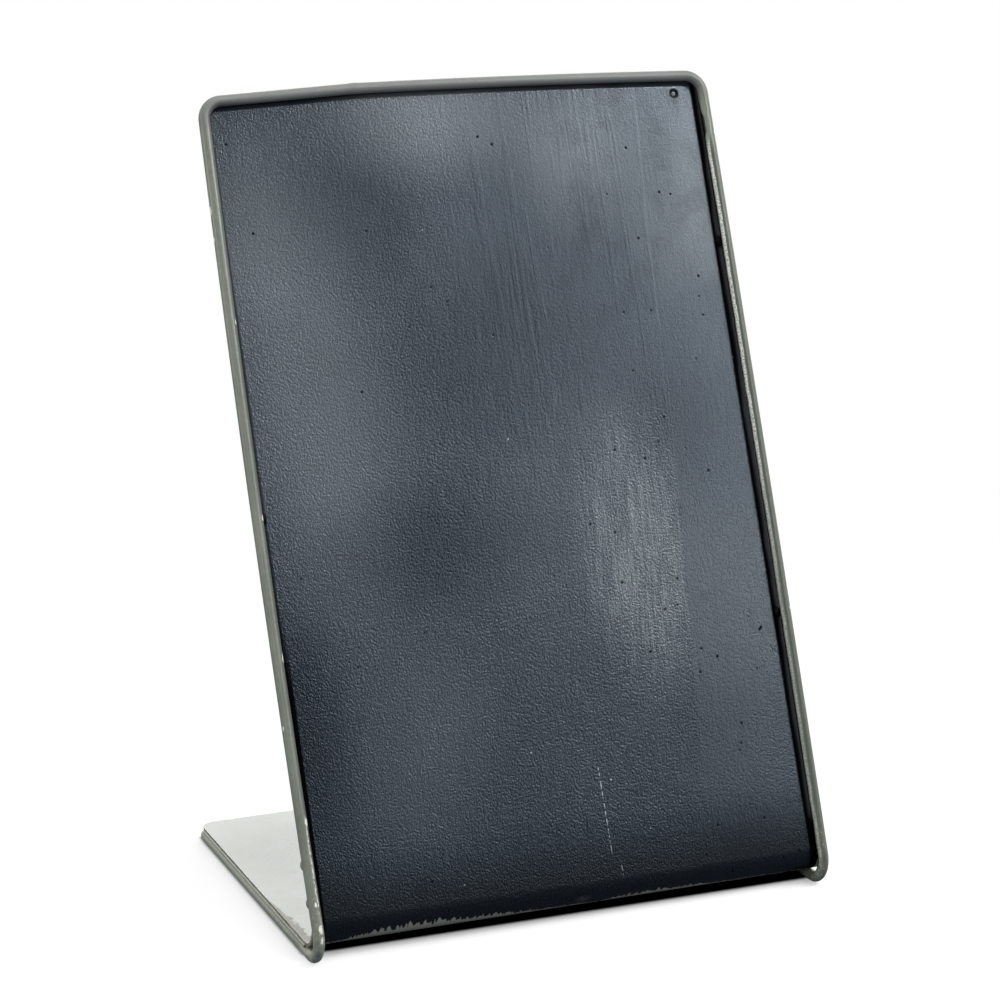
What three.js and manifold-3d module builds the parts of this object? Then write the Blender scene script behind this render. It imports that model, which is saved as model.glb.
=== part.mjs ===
// A small table-top blackboard: one loop of round wire, bent into a leaning panel and a foot,
// with one folded sheet of thin steel laid inside the bend and tacked to the wire.
// Millimetres, +Z up. The writing side faces -Y and the foot runs back along +Y.
import * as THREE from 'three';
import { mergeVertices } from 'three/addons/utils/BufferGeometryUtils.js';
import Module from 'manifold-3d';

const wasm = await Module();
wasm.setup();

// Overall sizes of the wire frame
const frameWidth = 150;          // outside of the two side wires
const panelLength = 231;         // wire centre to wire centre, up the slope from the front corner
const footDepth = 107.7;         // wire centre to wire centre, back from the front corner
const leanAngle = 21.9;          // degrees that the panel leans back from upright
const wireDiameter = 3.1;
const wireSides = 20;            // flats round the wire, one of them on the table

// Bends of the wire, at its centre line
const frontBendRadius = 6.2;
const topCornerRadius = 5.2;
const rearCornerRadius = 3.3;

// Hand-made irregularities of the wire
const topRise = 1.45;            // the top wire peaks at its butt weld
const leftBow = 0.75;            // the side wires bow outward at mid height
const rightBow = 0.35;
const frameWeldX = -30;          // butt weld of the loop, in the top wire
const frameWeldLength = 1.6;
const frameWeldSwell = 0.12;     // how far the weld stands proud of the wire

// Folded sheet
const sheetThickness = 0.8;
const sheetEdgeMargin = 0.7;     // the sheet's edge lies this far outside the wire's centre line
const sheetBendRadius = 8.2;     // outer side of the fold, wider than the wire's own bend
const seatGap = 0.3;             // between pieces that rest on each other
const dripHoleDiameter = 2;
const dripHoleFromSide = 8.2;    // from the right wire's centre line
const dripHoleFromTop = 4.5;     // from the top wire's centre line

// Blackboard paint on the writing side, as a skin in front of the sheet
const coatThickness = 0.2;
const coatWrapAngle = 80;        // degrees that the paint follows the fold downwards

// Tack welds between wire and sheet
const innerTackRadius = 1.0;
const innerTackLength = 3.2;
const outerTackRadius = 0.62;
const outerTackLength = 2.6;
const leftInnerTacks = [118];    // heights up the slope, writing side
const rightInnerTacks = [77, 183];
const lowerEdgeTacks = [17, 27]; // heights up the slope, at the sheet's side edges
const topEdgeTackX = 45;
const footTacks = [34, 80];      // distances back from the front corner
const rearTackX = 45;

const frameColour = 0x7d8276;
const coatColour = 0x1b2028;

const lean = THREE.MathUtils.degToRad(leanAngle);
const wireRadius = wireDiameter / 2;
const halfWidth = frameWidth / 2 - wireRadius;
const innerAngle = Math.PI / 2 - lean;
const turnAngle = Math.PI - innerAngle;
const cornerStretch = 1 / Math.tan(innerAngle / 2);
const sheetDepth = wireRadius + seatGap;
const coatDepth = sheetDepth - seatGap - coatThickness;

const across = new THREE.Vector3(1, 0, 0);
const back = new THREE.Vector3(0, 1, 0);
const upright = new THREE.Vector3(0, 0, 1);
const slope = new THREE.Vector3(0, Math.sin(lean), Math.cos(lean));
const behind = new THREE.Vector3(0, Math.cos(lean), -Math.sin(lean));

// Point of the panel: x, distance up the slope, depth behind the wire's centre plane.
function panelPoint(x, along, depth = 0) {
  return new THREE.Vector3(x, 0, wireRadius).addScaledVector(slope, along).addScaledVector(behind, depth);
}

// Point of the foot: x, distance back, height above the wire's centre plane.
function footPoint(x, distance, height = 0) {
  return new THREE.Vector3(x, distance, wireRadius + height);
}

// Centre of the front fold for a surface at this depth with this outer radius, in y and z.
function foldCentre(depth, radius) {
  return new THREE.Vector2((depth + radius) * cornerStretch, wireRadius + depth + radius);
}

// Rise of the top wire: straight up to the weld, then a shallow arch down to the right corner.
function topRiseAt(x) {
  const leftRun = frameWeldX + halfWidth - topCornerRadius;
  const rightRun = halfWidth - topCornerRadius - frameWeldX;
  if (x < frameWeldX) {
    return topRise * Math.max(0, 1 - (frameWeldX - x) / leftRun);
  }
  return topRise * Math.max(0, 1 - ((x - frameWeldX) / rightRun) ** 2);
}

// Outward bow of a side wire at a height up the slope.
function bowAt(along, bow) {
  const low = frontBendRadius * cornerStretch;
  const high = panelLength - topCornerRadius;
  const position = (2 * along - low - high) / (high - low);
  return bow * Math.max(0, 1 - position ** 2);
}

// A closed loop given ring by ring: where the wire's centre is and which way its table side faces.
class WireLoop extends THREE.Curve {
  constructor(rings) {
    super();
    this.rings = rings;
  }

  getPoint(t) {
    const place = t * (this.rings.length - 1);
    const index = Math.min(Math.floor(place), this.rings.length - 2);
    return this.rings[index].point.clone().lerp(this.rings[index + 1].point, place - index);
  }

  getSpacedPoints() {
    return this.rings.map((ring) => ring.point);
  }

  computeFrenetFrames() {
    const last = this.rings.length - 1;
    const tangents = this.rings.map((ring, index) => {
      const before = this.rings[Math.max(index - 1, 0)].point;
      const after = this.rings[Math.min(index + 1, last)].point;
      return after.clone().sub(before).normalize();
    });
    const normals = this.rings.map((ring, index) => {
      const along = tangents[index];
      return ring.outward.clone().addScaledVector(along, -ring.outward.dot(along)).normalize();
    });
    const binormals = tangents.map((tangent, index) => tangent.clone().cross(normals[index]));
    return { tangents, normals, binormals };
  }
}

// Rings evenly spread over a stretch, without its last one, which starts the next stretch.
function stretch(count, ringAt) {
  return Array.from({ length: count }, (unused, index) => ringAt(index / count));
}

// The rings of one half of the loop, from the weld over one corner to the middle of the rear wire.
function halfLoopRings(side, bow) {
  const front = slope.clone().cross(across).normalize();
  const down = upright.clone().negate();
  const low = frontBendRadius * cornerStretch;
  const high = panelLength - topCornerRadius;
  const corner = halfWidth - topCornerRadius;
  const rearCorner = halfWidth - rearCornerRadius;
  const centre = foldCentre(0, frontBendRadius);
  const weldEnd = frameWeldX + side * (frameWeldLength / 2 + seatGap);
  const onPanel = (x, along) => ({ point: panelPoint(x, along), outward: front });
  const onFoot = (x, distance) => ({ point: footPoint(x, distance), outward: down });

  const top = stretch(8, (t) => {
    const x = THREE.MathUtils.lerp(weldEnd, side * corner, t);
    return onPanel(x, panelLength + topRiseAt(x));
  });
  const topCorner = stretch(8, (t) => {
    const angle = (t * Math.PI) / 2;
    const x = side * (corner + topCornerRadius * Math.sin(angle));
    return onPanel(x, high + topCornerRadius * Math.cos(angle));
  });
  const sideWire = stretch(10, (t) => {
    const along = THREE.MathUtils.lerp(high, low, t);
    return onPanel(side * (halfWidth + bowAt(along, bow)), along);
  });
  const frontBend = stretch(12, (t) => {
    const angle = Math.PI - lean + t * turnAngle;
    const outward = new THREE.Vector3(0, Math.cos(angle), Math.sin(angle));
    const point = new THREE.Vector3(side * halfWidth, centre.x, centre.y);
    return { point: point.addScaledVector(outward, frontBendRadius), outward };
  });
  const footWire = stretch(2, (t) => {
    return onFoot(side * halfWidth, THREE.MathUtils.lerp(low, footDepth - rearCornerRadius, t));
  });
  const rearTurn = stretch(8, (t) => {
    const angle = (t * Math.PI) / 2;
    const x = side * (rearCorner + rearCornerRadius * Math.cos(angle));
    return onFoot(x, footDepth - rearCornerRadius * (1 - Math.sin(angle)));
  });
  const rearEnd = [onFoot(side * rearCorner, footDepth)];
  return [...top, ...topCorner, ...sideWire, ...frontBend, ...footWire, ...rearTurn, ...rearEnd];
}

// Round section drawn as a polygon whose flats touch the wire's true diameter.
function wireSection() {
  const section = new THREE.Shape();
  const vertexRadius = wireRadius / Math.cos(Math.PI / wireSides);
  const points = Array.from({ length: wireSides }, (unused, index) => {
    const angle = ((index + 0.5) / wireSides) * 2 * Math.PI;
    return new THREE.Vector2(vertexRadius * Math.cos(angle), vertexRadius * Math.sin(angle));
  });
  section.setFromPoints(points);
  return section;
}

function wireFrameGeometry() {
  const rightHalf = halfLoopRings(1, rightBow);
  const leftHalf = halfLoopRings(-1, leftBow).reverse();
  const rings = [...rightHalf, ...leftHalf];
  const loop = new WireLoop(rings);
  return new THREE.ExtrudeGeometry(wireSection(), { steps: rings.length - 1, extrudePath: loop });
}

// A barrel-shaped bead between the two ends of the loop.
function frameWeldGeometry() {
  const half = frameWeldLength / 2;
  const profile = new THREE.Path();
  profile.moveTo(0, -half);
  profile.lineTo(wireRadius - frameWeldSwell, -half);
  profile.quadraticCurveTo(wireRadius + 3 * frameWeldSwell, 0, wireRadius - frameWeldSwell, half);
  profile.lineTo(0, half);
  const barrel = new THREE.LatheGeometry(profile.getPoints(8), 24);
  barrel.rotateZ(-Math.PI / 2);
  const place = panelPoint(frameWeldX, panelLength + topRise);
  return barrel.translate(place.x, place.y, place.z);
}

function toSolid(geometry) {
  const bare = geometry.clone();
  bare.deleteAttribute('normal');
  bare.deleteAttribute('uv');
  const merged = mergeVertices(bare, 1e-5);
  const vertProperties = new Float32Array(merged.attributes.position.array);
  const triVerts = new Uint32Array(merged.index.array);
  return new wasm.Manifold(new wasm.Mesh({ numProp: 3, vertProperties, triVerts }));
}

function toGeometry(solid) {
  const mesh = solid.getMesh();
  const geometry = new THREE.BufferGeometry();
  geometry.setAttribute('position', new THREE.BufferAttribute(new Float32Array(mesh.vertProperties), 3));
  geometry.setIndex(new THREE.BufferAttribute(new Uint32Array(mesh.triVerts), 1));
  const facets = geometry.toNonIndexed();
  facets.computeVertexNormals();
  return facets;
}

// Side view of a folded layer: panel, fold and foot, between two depths behind the wire's centre plane.
// The layer runs up to the given height and ends on the foot, or part of the way round the fold.
function foldedProfile(depth, thickness, height, wrapAngle, footEnd) {
  const outerRadius = sheetBendRadius + sheetDepth - depth;
  const centre = foldCentre(depth, outerRadius);
  const start = Math.PI - lean;
  const profile = new THREE.Shape();
  const panelOuter = panelPoint(0, height, depth);
  const panelInner = panelPoint(0, height, depth + thickness);
  profile.moveTo(panelOuter.y, panelOuter.z);
  profile.absarc(centre.x, centre.y, outerRadius, start, start + wrapAngle, false);
  if (footEnd > centre.x) {
    profile.lineTo(footEnd, wireRadius + depth);
    profile.lineTo(footEnd, wireRadius + depth + thickness);
  }
  profile.absarc(centre.x, centre.y, outerRadius - thickness, start + wrapAngle, start, true);
  profile.lineTo(panelInner.y, panelInner.z);
  return profile;
}

// The side view carried across the width, from -X to +X.
function foldedLayer(profile, width) {
  const layer = new THREE.ExtrudeGeometry(profile, { depth: width, bevelEnabled: false, curveSegments: 12 });
  layer.translate(0, 0, -width / 2);
  return layer.applyMatrix4(new THREE.Matrix4().makeBasis(back, upright, across));
}

// Outline of the panel at a margin outside the wire's centre line, in x and distance up the slope.
function panelOutline(margin, foot) {
  const half = halfWidth + margin;
  const radius = topCornerRadius + margin;
  const top = panelLength + margin;
  const archRun = (half - radius - frameWeldX) / 2;
  const outline = new THREE.Shape();
  outline.moveTo(-half, foot);
  outline.lineTo(half, foot);
  outline.absarc(half - radius, top - radius, radius, 0, Math.PI / 2, false);
  outline.quadraticCurveTo(half - radius - archRun, top + topRise, frameWeldX, top + topRise);
  outline.lineTo(-half + radius, top);
  outline.absarc(-half + radius, top - radius, radius, Math.PI / 2, Math.PI, false);
  return outline;
}

// Outline of the foot at a margin outside the wire's centre line, in x and distance back.
function footOutline(margin, front) {
  const half = halfWidth + margin;
  const radius = rearCornerRadius + margin;
  const rear = footDepth + margin;
  const outline = new THREE.Shape();
  outline.moveTo(-half, front);
  outline.lineTo(half, front);
  outline.absarc(half - radius, rear - radius, radius, 0, Math.PI / 2, false);
  outline.absarc(-half + radius, rear - radius, radius, Math.PI / 2, Math.PI, false);
  return outline;
}

// A thick block of the panel's outline, square to the panel.
function panelBlock(margin, foot) {
  const reach = 2 * sheetBendRadius;
  const block = new THREE.ExtrudeGeometry(panelOutline(margin, foot), {
    depth: 2 * reach,
    bevelEnabled: false,
    curveSegments: 8,
  });
  block.translate(0, 0, -reach);
  const placed = new THREE.Matrix4().makeBasis(across, slope, behind.clone().negate());
  placed.setPosition(0, 0, wireRadius);
  return toSolid(block.applyMatrix4(placed));
}

// A block of the foot's outline, from below the table side to above the fold.
function footBlock(margin, front, height) {
  const block = new THREE.ExtrudeGeometry(footOutline(margin, front), {
    depth: height + wireRadius,
    bevelEnabled: false,
    curveSegments: 8,
  });
  return toSolid(block.translate(0, 0, -wireRadius));
}

function dripHoleCutter() {
  const cutter = new THREE.CylinderGeometry(
    dripHoleDiameter / 2, dripHoleDiameter / 2, 4 * (sheetDepth + sheetThickness), 24,
  );
  cutter.applyMatrix4(new THREE.Matrix4().makeBasis(slope.clone().negate(), behind, across));
  const place = panelPoint(halfWidth - dripHoleFromSide, panelLength - dripHoleFromTop, sheetDepth);
  return toSolid(cutter.translate(place.x, place.y, place.z));
}

// One sheet for panel, fold and foot, its edges resting on the wires all round.
function sheetGeometry() {
  const overTop = panelLength + topRise + 2 * sheetEdgeMargin;
  const overRear = footDepth + 2 * sheetEdgeMargin;
  const profile = foldedProfile(sheetDepth, sheetThickness, overTop, turnAngle, overRear);
  const blank = toSolid(foldedLayer(profile, frameWidth + 2 * sheetEdgeMargin));
  const aboveFold = 2 * sheetBendRadius;
  const outline = panelBlock(sheetEdgeMargin, aboveFold).add(
    footBlock(sheetEdgeMargin, -sheetBendRadius, aboveFold + 2 * sheetThickness),
  );
  return toGeometry(blank.intersect(outline).subtract(dripHoleCutter()));
}

// The paint skin keeps clear of the wires on three sides and ends part of the way round the fold.
function coatGeometry() {
  const clearRadius = wireRadius + seatGap;
  const margin = -Math.sqrt(clearRadius ** 2 - coatDepth ** 2);
  const wrap = THREE.MathUtils.degToRad(coatWrapAngle);
  const profile = foldedProfile(coatDepth, coatThickness, panelLength + topRise, wrap, 0);
  const blank = toSolid(foldedLayer(profile, 2 * (halfWidth + margin)));
  return toGeometry(blank.intersect(panelBlock(margin, -2 * sheetBendRadius)));
}

// A bead of weld in the crease between a wire and a layer. Its own frame has the wire's centre at
// the origin, x across the wire towards the sheet's edge, y towards the sheet and z along the wire.
function tackBead(place, radius, length, edge, coatEdge) {
  const bead = new THREE.SphereGeometry(radius, 16, 10);
  bead.scale(1, 1, length / 2 / radius);
  bead.translate(place.x, place.y, 0);
  const clearance = new THREE.CylinderGeometry(wireRadius + seatGap, wireRadius + seatGap, 2 * length, 32);
  clearance.rotateX(Math.PI / 2);
  let solid = toSolid(bead).subtract(toSolid(clearance));
  solid = solid.subtract(layerClearance(sheetDepth, sheetThickness, edge, length));
  if (coatEdge !== undefined) {
    solid = solid.subtract(layerClearance(coatDepth, coatThickness, coatEdge, length));
  }
  return solid;
}

// The room that a layer takes beside the wire, with the seat gap all round.
function layerClearance(depth, thickness, edge, length) {
  const reach = 4 * wireDiameter;
  const slab = new THREE.BoxGeometry(reach, thickness + 2 * seatGap, 2 * length);
  return toSolid(slab.translate(edge + seatGap - reach / 2, depth + thickness / 2, 0));
}

// Carries a bead from its own frame to its place on the board.
function placeBead(solid, origin, outward, inward) {
  const along = outward.clone().cross(inward);
  const placed = new THREE.Matrix4().makeBasis(outward, inward, along);
  placed.setPosition(origin);
  return toGeometry(solid).applyMatrix4(placed);
}

const frameMaterial = new THREE.MeshStandardMaterial({ color: frameColour, roughness: 0.45, metalness: 0.1 });
const coatMaterial = new THREE.MeshStandardMaterial({ color: coatColour, roughness: 0.35, metalness: 0 });

const blackboard = new THREE.Group();

function addPiece(name, geometry, material) {
  const piece = new THREE.Mesh(geometry, material.clone());
  piece.name = name;
  blackboard.add(piece);
}

// Tacks in the crease on the wire's inner side, under the foot or on the writing side.
const innerPlace = { x: -wireRadius - innerTackRadius / 2, y: wireRadius - innerTackRadius };
// Tacks over the sheet's cut edge, behind the wire.
const outerPlace = { x: sheetEdgeMargin + outerTackRadius, y: sheetDepth };

function addPanelTacks() {
  const coatEdge = -Math.sqrt((wireRadius + seatGap) ** 2 - coatDepth ** 2);
  const sides = [['left', -1, leftBow, leftInnerTacks], ['right', 1, rightBow, rightInnerTacks]];
  for (const [sideName, side, bow, innerTacks] of sides) {
    const outward = across.clone().multiplyScalar(side);
    innerTacks.forEach((along, index) => {
      const shift = bowAt(along, bow);
      const edges = [sheetEdgeMargin - shift, coatEdge - shift];
      const bead = tackBead(innerPlace, innerTackRadius, innerTackLength, ...edges);
      const origin = panelPoint(side * (halfWidth + shift), along);
      addPiece(`${sideName}_face_tack_${index + 1}`, placeBead(bead, origin, outward, behind), frameMaterial);
    });
    lowerEdgeTacks.forEach((along, index) => {
      const shift = bowAt(along, bow);
      const bead = tackBead(outerPlace, outerTackRadius, outerTackLength, sheetEdgeMargin - shift);
      const origin = panelPoint(side * (halfWidth + shift), along);
      addPiece(`${sideName}_edge_tack_${index + 1}`, placeBead(bead, origin, outward, behind), frameMaterial);
    });
  }
  for (const [sideName, side] of [['left', -1], ['right', 1]]) {
    const x = side * topEdgeTackX;
    const bead = tackBead(outerPlace, outerTackRadius, outerTackLength, sheetEdgeMargin);
    const origin = panelPoint(x, panelLength + topRiseAt(x));
    addPiece(`top_tack_${sideName}`, placeBead(bead, origin, slope, behind), frameMaterial);
  }
}

function addFootTacks() {
  for (const [sideName, side] of [['left', -1], ['right', 1]]) {
    const outward = across.clone().multiplyScalar(side);
    footTacks.forEach((distance, index) => {
      const bead = tackBead(innerPlace, innerTackRadius, innerTackLength, sheetEdgeMargin);
      const origin = footPoint(side * halfWidth, distance);
      addPiece(`${sideName}_foot_tack_${index + 1}`, placeBead(bead, origin, outward, upright), frameMaterial);
    });
    const bead = tackBead(innerPlace, innerTackRadius, innerTackLength, sheetEdgeMargin);
    const origin = footPoint(side * rearTackX, footDepth);
    addPiece(`rear_tack_${sideName}`, placeBead(bead, origin, back, upright), frameMaterial);
  }
}

addPiece('wire_frame', wireFrameGeometry(), frameMaterial);
addPiece('frame_weld', frameWeldGeometry(), frameMaterial);
addPiece('folded_sheet', sheetGeometry(), frameMaterial);
addPiece('blackboard_coat', coatGeometry(), coatMaterial);
addPanelTacks();
addFootTacks();

// The origin is on the table, under the middle of the whole board.
const frontmost = foldCentre(0, frontBendRadius).x - frontBendRadius - wireRadius;
const rearmost = footDepth + wireRadius;
blackboard.position.set((leftBow - rightBow) / 2, -(frontmost + rearmost) / 2, 0);

export default blackboard;
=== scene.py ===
import math

import bpy
import numpy as np
from mathutils import Matrix, Vector


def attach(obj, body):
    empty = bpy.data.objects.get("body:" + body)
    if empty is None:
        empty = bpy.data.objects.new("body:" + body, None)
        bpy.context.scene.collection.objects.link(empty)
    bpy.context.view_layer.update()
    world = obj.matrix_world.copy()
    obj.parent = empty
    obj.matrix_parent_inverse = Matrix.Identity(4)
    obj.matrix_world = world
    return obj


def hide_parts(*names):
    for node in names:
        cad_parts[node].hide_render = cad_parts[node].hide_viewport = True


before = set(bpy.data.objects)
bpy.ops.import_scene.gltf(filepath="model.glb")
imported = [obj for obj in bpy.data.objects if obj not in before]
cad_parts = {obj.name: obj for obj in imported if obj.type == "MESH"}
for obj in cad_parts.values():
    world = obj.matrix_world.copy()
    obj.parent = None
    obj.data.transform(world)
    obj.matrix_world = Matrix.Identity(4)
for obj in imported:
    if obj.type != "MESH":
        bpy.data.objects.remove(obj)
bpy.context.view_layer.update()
print("frame loaded:", len(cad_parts), "CAD nodes")

# Sizes of the bent wire and the folded sheet in millimetres, the same as in the CAD frame
board = {
    "halfWidth": 73.45,          # middle of the board to a side wire's centre line
    "panelLength": 231.0,        # front corner to the top wire, up the slope
    "footDepth": 107.7,          # front corner to the rear wire
    "leanDegrees": 21.9,         # the panel leans back from upright
    "wireRadius": 1.55,
    "wireBendRadius": 6.2,
    "topCornerRadius": 5.2,
    "rearCornerRadius": 3.3,
    "topRise": 1.45,             # the top wire peaks at its butt weld
    "weldX": -30.0,
    "leftBow": 0.75,             # the side wires bow outward at mid height
    "rightBow": 0.35,
    "sheetDepth": 1.85,          # writing side of the sheet behind the wire's centre plane
    "sheetMargin": 0.7,          # the sheet's edge lies this far outside the wire's centre line
    "foldRadius": 6.1,           # outer side of the sheet's fold
    "foldSkew": 0.5,             # the fold is rounder at its left end and tighter at its right end
    "skewReach": 25.0,           # that difference fades out this far up the panel
    "holeX": 65.25,              # the small hole at the top right, closed by the paint
    "holeAlong": 226.5,
}

lean = math.radians(board["leanDegrees"])
slope = np.array((0.0, math.sin(lean), math.cos(lean)))
behind = np.array((0.0, math.cos(lean), -math.sin(lean)))
across = np.array((1.0, 0.0, 0.0))
backward = np.array((0.0, 1.0, 0.0))
upright = np.array((0.0, 0.0, 1.0))
cornerStretch = 1 / math.tan((math.pi / 2 - lean) / 2)
bendAngle = math.pi / 2 + lean
bendStart = board["wireBendRadius"] * cornerStretch
foldStart = (board["sheetDepth"] + board["foldRadius"]) * cornerStretch
foldLength = board["foldRadius"] * bendAngle

# The row frame has its origin on the table under the middle of the board
frontmost = bendStart - board["wireBendRadius"] - board["wireRadius"]
rearmost = board["footDepth"] + board["wireRadius"]
rowShift = np.array(((board["leftBow"] - board["rightBow"]) / 2, -(frontmost + rearmost) / 2, 0.0))


def toRow(points):
    return (np.asarray(points) + rowShift) / 1000


# Points on the panel: across, up the slope, and behind the wire's centre plane
def panelPoints(x, along, depth=0.0):
    x, along, depth = np.broadcast_arrays(x, along, depth)
    points = along[..., None] * slope + depth[..., None] * behind + x[..., None] * across
    points[..., 2] += board["wireRadius"]
    return points


# Points on the folded sheet's outer face. Travel runs up the panel from the fold, and is
# negative round the fold and back along the foot. Lift is outwards from that face.
def sheetPoints(x, travel, lift):
    x, travel, lift = np.broadcast_arrays(x, travel, lift)
    radius = board["foldRadius"] - board["foldSkew"] * x / board["halfWidth"]
    shift = (radius - board["foldRadius"]) * cornerStretch
    nearFold = np.clip(1 - travel / board["skewReach"], 0, 1)
    points = panelPoints(x, foldStart + travel + shift * nearFold, board["sheetDepth"] - lift)
    angle = math.pi - lean - np.clip(travel, -foldLength, 0) / board["foldRadius"]
    rounded = np.stack((
        x,
        foldStart + shift + (radius + lift) * np.cos(angle),
        board["wireRadius"] + board["sheetDepth"] + radius + (radius + lift) * np.sin(angle),
    ), axis=-1)
    distance = -travel - foldLength
    onFoot = np.clip(1 - distance / (board["footDepth"] - foldStart), 0, 1)
    flat = np.stack((
        x,
        foldStart + distance + shift * onFoot,
        board["wireRadius"] + board["sheetDepth"] - lift,
    ), axis=-1)
    points = np.where((travel < 0)[..., None], rounded, points)
    return np.where((travel < -foldLength)[..., None], flat, points)


# Rise of the top wire: straight up to the weld, then a shallow arch to the right corner
def topRiseAt(x):
    reach = board["halfWidth"] - board["topCornerRadius"]
    left = 1 - (board["weldX"] - x) / (board["weldX"] + reach)
    right = 1 - ((x - board["weldX"]) / (reach - board["weldX"])) ** 2
    return board["topRise"] * np.clip(np.where(x < board["weldX"], left, right), 0, 1)


def bowAt(along, bow):
    high = board["panelLength"] - board["topCornerRadius"]
    position = (2 * along - bendStart - high) / (high - bendStart)
    return bow * np.clip(1 - position ** 2, 0, 1)


# Even noise along a line, from -1 to 1, the same on each run
def lineNoise(places, spacing, seed):
    knots = np.arange(places.min() - 2 * spacing, places.max() + 3 * spacing, spacing)
    heights = np.random.default_rng(seed).uniform(-1, 1, len(knots))
    nearest = np.searchsorted(knots, places) - 1
    part = (places - knots[nearest]) / spacing
    part = part * part * (3 - 2 * part)
    return heights[nearest] * (1 - part) + heights[nearest + 1] * part


def addMesh(name, points, faces=(), edges=()):
    mesh = bpy.data.meshes.new(name)
    mesh.from_pydata(toRow(points).tolist(), edges, faces)
    made = bpy.data.objects.new(name, mesh)
    bpy.context.scene.collection.objects.link(made)
    return made


def addAttribute(piece, name, values):
    kind = "FLOAT" if np.ndim(values) == 1 else "FLOAT_VECTOR"
    made = piece.data.attributes.new(name, kind, "POINT")
    made.data.foreach_set("value" if kind == "FLOAT" else "vector", np.ravel(values))


# Turns what the modifiers make into the piece's own plain mesh
def applyModifiers(piece):
    graph = bpy.context.evaluated_depsgraph_get()
    result = bpy.data.meshes.new_from_object(piece.evaluated_get(graph))
    start = piece.data
    piece.modifiers.clear()
    piece.data = result
    result.name = piece.name
    bpy.data.meshes.remove(start)


# One output of a node, which can be used in sums: each sum adds its Math node
class Value:
    def __init__(self, maker, socket):
        self.maker = maker
        self.socket = socket

    def math(self, operation, *values):
        return self.maker.node("ShaderNodeMath", {"operation": operation}, dict(enumerate(values)))

    def __add__(self, other):
        return self.math("ADD", self, other)

    def __sub__(self, other):
        return self.math("SUBTRACT", self, other)

    def __rsub__(self, other):
        return self.math("SUBTRACT", other, self)

    def __mul__(self, other):
        return self.math("MULTIPLY", self, other)

    def __truediv__(self, other):
        return self.math("DIVIDE", self, other)

    def __pow__(self, other):
        return self.math("POWER", self, other)

    def __abs__(self):
        return self.math("ABSOLUTE", self)

    def __rpow__(self, other):
        return self.math("POWER", other, self)

    __radd__ = __add__
    __rmul__ = __mul__

    def least(self, other):
        return self.math("MINIMUM", self, other)

    def most(self, other):
        return self.math("MAXIMUM", self, other)

    # 0 below the first value and 1 above the second, or the other way round, with a soft change
    def step(self, low, high):
        return self.maker.node("ShaderNodeMapRange", {"interpolation_type": "SMOOTHSTEP"}, {
            "Value": self, "From Min": low, "From Max": high, "To Min": 0.0, "To Max": 1.0,
        })

    def output(self, name):
        return Value(self.maker, self.socket.node.outputs[name])


# An input by its number, or the first one in use with this name
def findSocket(node, key):
    if isinstance(key, int):
        return node.inputs[key]
    enabled = [socket for socket in node.inputs if socket.enabled]
    return next(socket for socket in enabled if key in (socket.name, socket.identifier))


# Adds nodes to a shader or geometry tree
class Maker:
    def __init__(self, tree):
        self.tree = tree

    def node(self, kind, settings=None, inputs=None):
        made = self.tree.nodes.new(kind)
        for name, value in (settings or {}).items():
            setattr(made, name, value)
        for key, value in (inputs or {}).items():
            socket = findSocket(made, key)
            if isinstance(value, Value):
                self.tree.links.new(value.socket, socket)
            else:
                socket.default_value = value
        shown = [socket for socket in made.outputs if socket.enabled]
        return Value(self, shown[0]) if shown else made

    def mixColour(self, factor, first, second):
        first, second = [c if isinstance(c, Value) else (*c, 1.0) for c in (first, second)]
        return self.node("ShaderNodeMix", {"data_type": "RGBA"}, {
            "Factor": factor, "A": first, "B": second,
        })

    def vector(self, operation, first, second):
        return self.node("ShaderNodeVectorMath", {"operation": operation}, {0: first, 1: second})

    def dot(self, first, second):
        made = self.node("ShaderNodeVectorMath", {"operation": "DOT_PRODUCT"}, {0: first, 1: second})
        return made.output("Value")

    def combine(self, x, y, z):
        return self.node("ShaderNodeCombineXYZ", None, {0: x, 1: y, 2: z})

    def noise(self, place, scale, detail=2.0, roughness=0.5, distortion=0.0):
        return self.node("ShaderNodeTexNoise", None, {
            "Vector": place, "Scale": scale, "Detail": detail,
            "Roughness": roughness, "Distortion": distortion,
        })

    def attribute(self, name):
        return self.node("ShaderNodeAttribute", {"attribute_name": name})

    # Place on the board in millimetres: across, up the slope, and behind the wire's centre plane
    def boardPlace(self):
        place = self.node("ShaderNodeTexCoord").output("Object")
        place = self.node("ShaderNodeMapping", {"vector_type": "POINT"}, {
            "Vector": place, "Scale": (1000, 1000, 1000),
            "Location": tuple(-rowShift - (0, 0, board["wireRadius"])),
        })
        parts = self.node("ShaderNodeSeparateXYZ", None, {0: place})
        return parts.output("X"), self.dot(place, tuple(slope)), self.dot(place, tuple(behind)), place


def newMaterial(name):
    material = bpy.data.materials.new(name)
    material.use_nodes = True
    material.node_tree.nodes.clear()
    return material, Maker(material.node_tree)


# Dull is the share of the surface that is matt black and has no shine
def finishMaterial(maker, inputs, dull=None):
    shader = maker.node("ShaderNodeBsdfPrincipled", None, inputs)
    if dull:
        matt = maker.node("ShaderNodeBsdfDiffuse", None, {"Color": (0.002, 0.002, 0.002, 1.0)})
        shader = maker.node("ShaderNodeMixShader", None, {0: dull, 1: shader, 2: matt})
    maker.node("ShaderNodeOutputMaterial", None, {"Surface": shader})


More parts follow.
